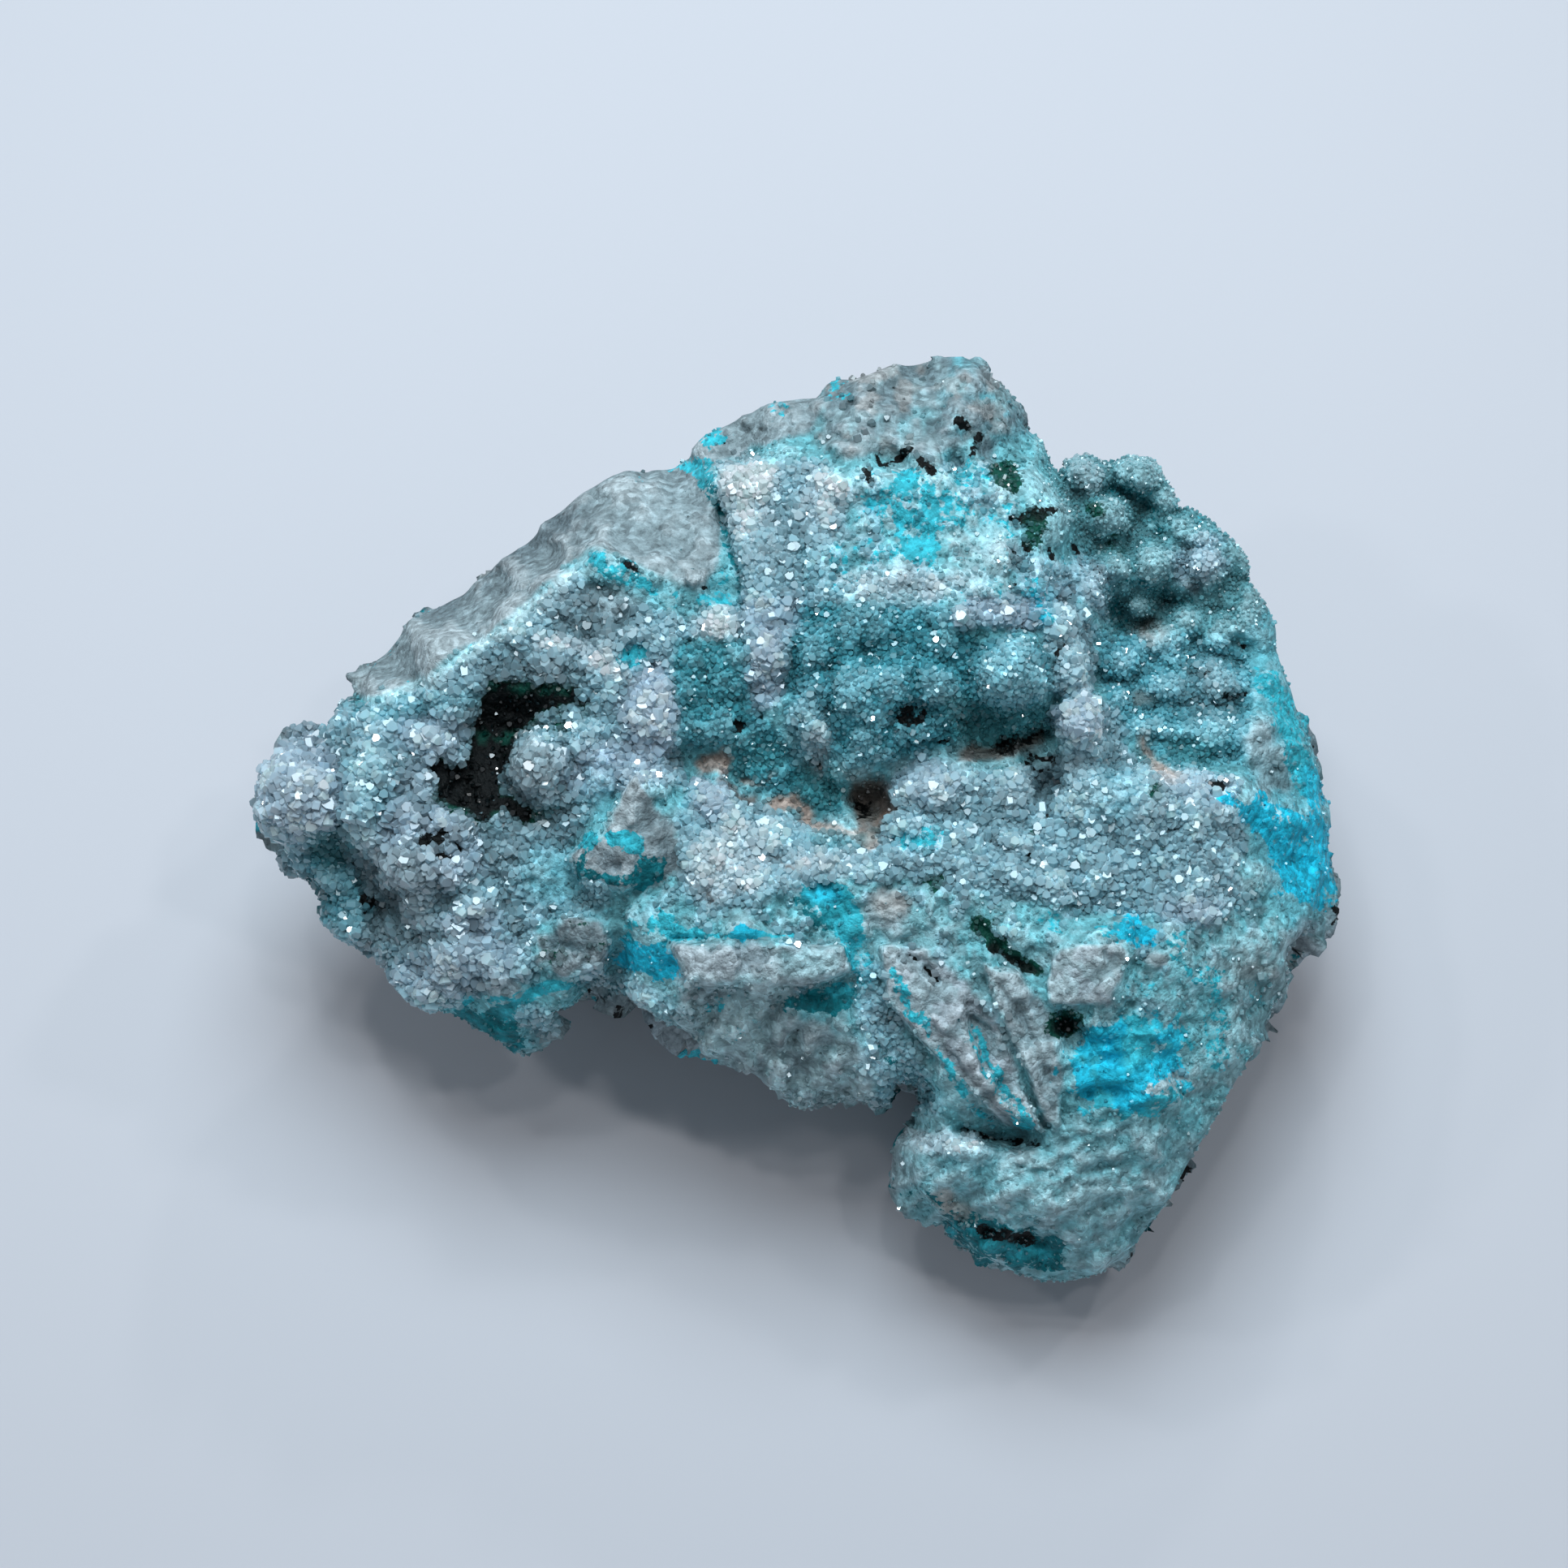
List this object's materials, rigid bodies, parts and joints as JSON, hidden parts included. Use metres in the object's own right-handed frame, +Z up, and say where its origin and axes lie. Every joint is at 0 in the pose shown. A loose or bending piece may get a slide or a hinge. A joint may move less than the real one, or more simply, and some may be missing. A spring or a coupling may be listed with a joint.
{
  "type": "chrysocolla mineral specimen",
  "caption": "Loose rock specimen of chrysocolla: broken grey host rock with blue-green veins, a rounded bowl and a hollow lined with fine quartz crystals.",
  "frame": {"origin": "on the flat underside that the specimen rests on, below its middle", "axes": "+X along the specimen's length, to the right as seen from the front; +Y to the back, where the bare grey rock is; +Z up"},
  "size_m": [0.0688, 0.0565, 0.031],
  "materials": {
    "host_rock": "rough broken grey rock veined and stained blue-green",
    "druse_crust": "crust of small glassy quartz crystals, pale grey to teal",
    "bowl_crust": "rounded teal chrysocolla lumps under fine glassy crystals"
  },
  "bodies": {
    "root": {"host_rock": "host_rock", "druse_crust": "druse_crust", "bowl_crust": "bowl_crust"}
  },
  "joints": []
}
